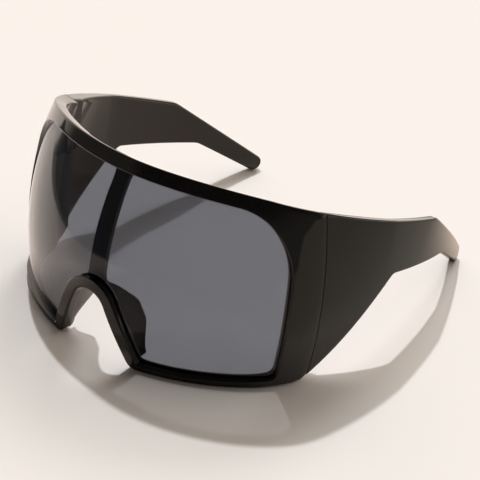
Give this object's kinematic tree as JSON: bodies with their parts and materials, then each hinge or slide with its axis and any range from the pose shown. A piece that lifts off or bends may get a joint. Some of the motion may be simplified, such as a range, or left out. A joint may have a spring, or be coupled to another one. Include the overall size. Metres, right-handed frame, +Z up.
{
  "type": "shield sunglasses",
  "caption": "Oversized shield sunglasses: a wrapped tinted lens let into a moulded front with a nose notch, and deep wedge-shaped temples that fold on screw hinges.",
  "frame": {"origin": "middle of the footprint, on the surface that the glasses rest on with the temples open", "axes": "+X to the wearer's left, -Y out of the front of the lens, +Z up from the surface"},
  "size_m": [0.1528, 0.1684, 0.0814],
  "materials": {
    "frame_plastic": "gloss black",
    "lens_tint": "gloss, see-through grey tint",
    "hinge_steel": "blackened"
  },
  "bodies": {
    "front": {"front_frame": "frame_plastic", "shield_lens": "lens_tint", "left_front_leaf": "hinge_steel", "right_front_leaf": "hinge_steel", "left_hinge_screw": "hinge_steel", "right_hinge_screw": "hinge_steel", "left_front_rivets": "hinge_steel", "right_front_rivets": "hinge_steel"},
    "left_arm": {"left_temple": "frame_plastic", "left_temple_leaf": "hinge_steel", "left_temple_rivets": "hinge_steel"},
    "right_arm": {"right_temple": "frame_plastic", "right_temple_leaf": "hinge_steel", "right_temple_rivets": "hinge_steel"}
  },
  "joints": [
    {"name": "left_fold", "type": "hinge", "parent": "front", "child": "left_arm", "pos_m": [0.06451, -0.02958, 0.04913], "axis": [0, 0.1159, 0.9933], "range_deg": [0, 95]},
    {"name": "right_fold", "type": "hinge", "parent": "front", "child": "right_arm", "pos_m": [-0.06451, -0.02958, 0.04913], "axis": [0, -0.1159, -0.9933], "range_deg": [0, 78]}
  ]
}
